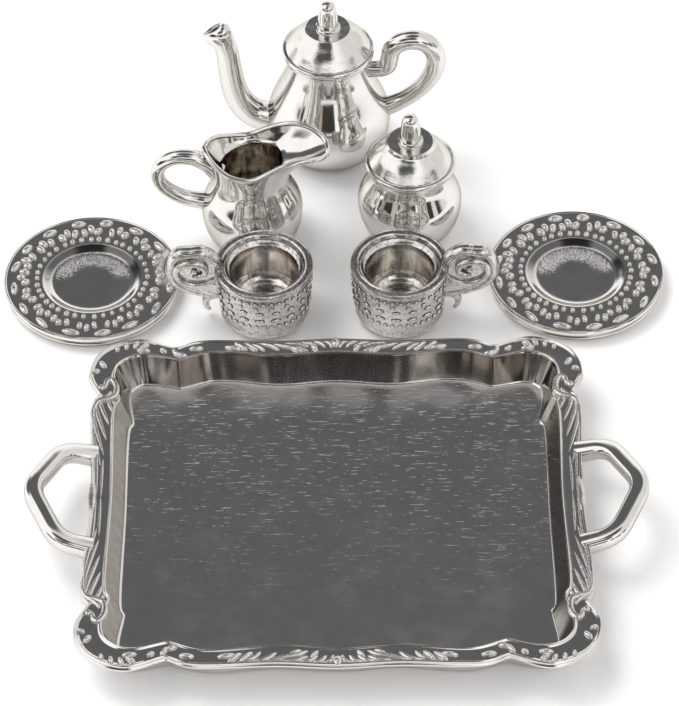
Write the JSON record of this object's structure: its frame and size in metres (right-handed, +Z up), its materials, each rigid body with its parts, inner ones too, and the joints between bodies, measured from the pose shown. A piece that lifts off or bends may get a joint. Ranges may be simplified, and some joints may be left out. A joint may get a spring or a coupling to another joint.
{
  "type": "miniature tea set",
  "caption": "Doll's-house tea service in polished white metal: scalloped tray with loop handles, teapot, creamer, lidded sugar bowl, cups and saucers.",
  "frame": {"origin": "centre of the tray's flat underside", "axes": "+Z up, +X to the right across the tray's length, +Y away from the tray's front towards the teapot"},
  "size_m": [0.0709, 0.0864, 0.0202],
  "materials": {
    "tray_metal": "polished",
    "tray_handle_metal": "polished",
    "teapot_metal": "polished",
    "lid_metal": "polished",
    "sugar_bowl_metal": "polished",
    "creamer_metal": "polished",
    "cup_metal": "polished",
    "saucer_metal": "polished"
  },
  "bodies": {
    "tray": {"tray_pan": "tray_metal", "tray_handle_left": "tray_handle_metal", "tray_handle_right": "tray_handle_metal"},
    "teapot": {"teapot_body": "teapot_metal", "teapot_spout": "teapot_metal", "teapot_handle": "teapot_metal"},
    "teapot_lid": {"teapot_lid": "lid_metal", "teapot_lid_finial": "lid_metal"},
    "sugar_bowl": {"sugar_bowl": "sugar_bowl_metal"},
    "sugar_lid": {"sugar_lid": "lid_metal", "sugar_lid_finial": "lid_metal"},
    "creamer": {"creamer_body": "creamer_metal", "creamer_handle": "creamer_metal"},
    "cup_left": {"cup_left_body": "cup_metal", "cup_left_handle": "cup_metal"},
    "cup_right": {"cup_right_body": "cup_metal", "cup_right_handle": "cup_metal"},
    "saucer_left": {"saucer_left": "saucer_metal"},
    "saucer_right": {"saucer_right": "saucer_metal"}
  },
  "joints": [
    {"name": "teapot_lift", "type": "slide", "parent": "tray", "child": "teapot", "axis": [0, 0, 1], "range_m": [0, 0.03]},
    {"name": "teapot_lid_lift", "type": "slide", "parent": "teapot", "child": "teapot_lid", "axis": [0, 0, 1], "range_m": [0, 0.012]},
    {"name": "sugar_bowl_lift", "type": "slide", "parent": "tray", "child": "sugar_bowl", "axis": [0, 0, 1], "range_m": [0, 0.03]},
    {"name": "sugar_lid_lift", "type": "slide", "parent": "sugar_bowl", "child": "sugar_lid", "axis": [0, 0, 1], "range_m": [0, 0.012]},
    {"name": "creamer_lift", "type": "slide", "parent": "tray", "child": "creamer", "axis": [0, 0, 1], "range_m": [0, 0.03]},
    {"name": "cup_left_lift", "type": "slide", "parent": "tray", "child": "cup_left", "axis": [0, 0, 1], "range_m": [0, 0.03]},
    {"name": "cup_right_lift", "type": "slide", "parent": "tray", "child": "cup_right", "axis": [0, 0, 1], "range_m": [0, 0.03]},
    {"name": "saucer_left_lift", "type": "slide", "parent": "tray", "child": "saucer_left", "axis": [-0.7071, 0, 0.7071], "range_m": [0, 0.03]},
    {"name": "saucer_right_lift", "type": "slide", "parent": "tray", "child": "saucer_right", "axis": [0.7071, 0, 0.7071], "range_m": [0, 0.03]}
  ]
}
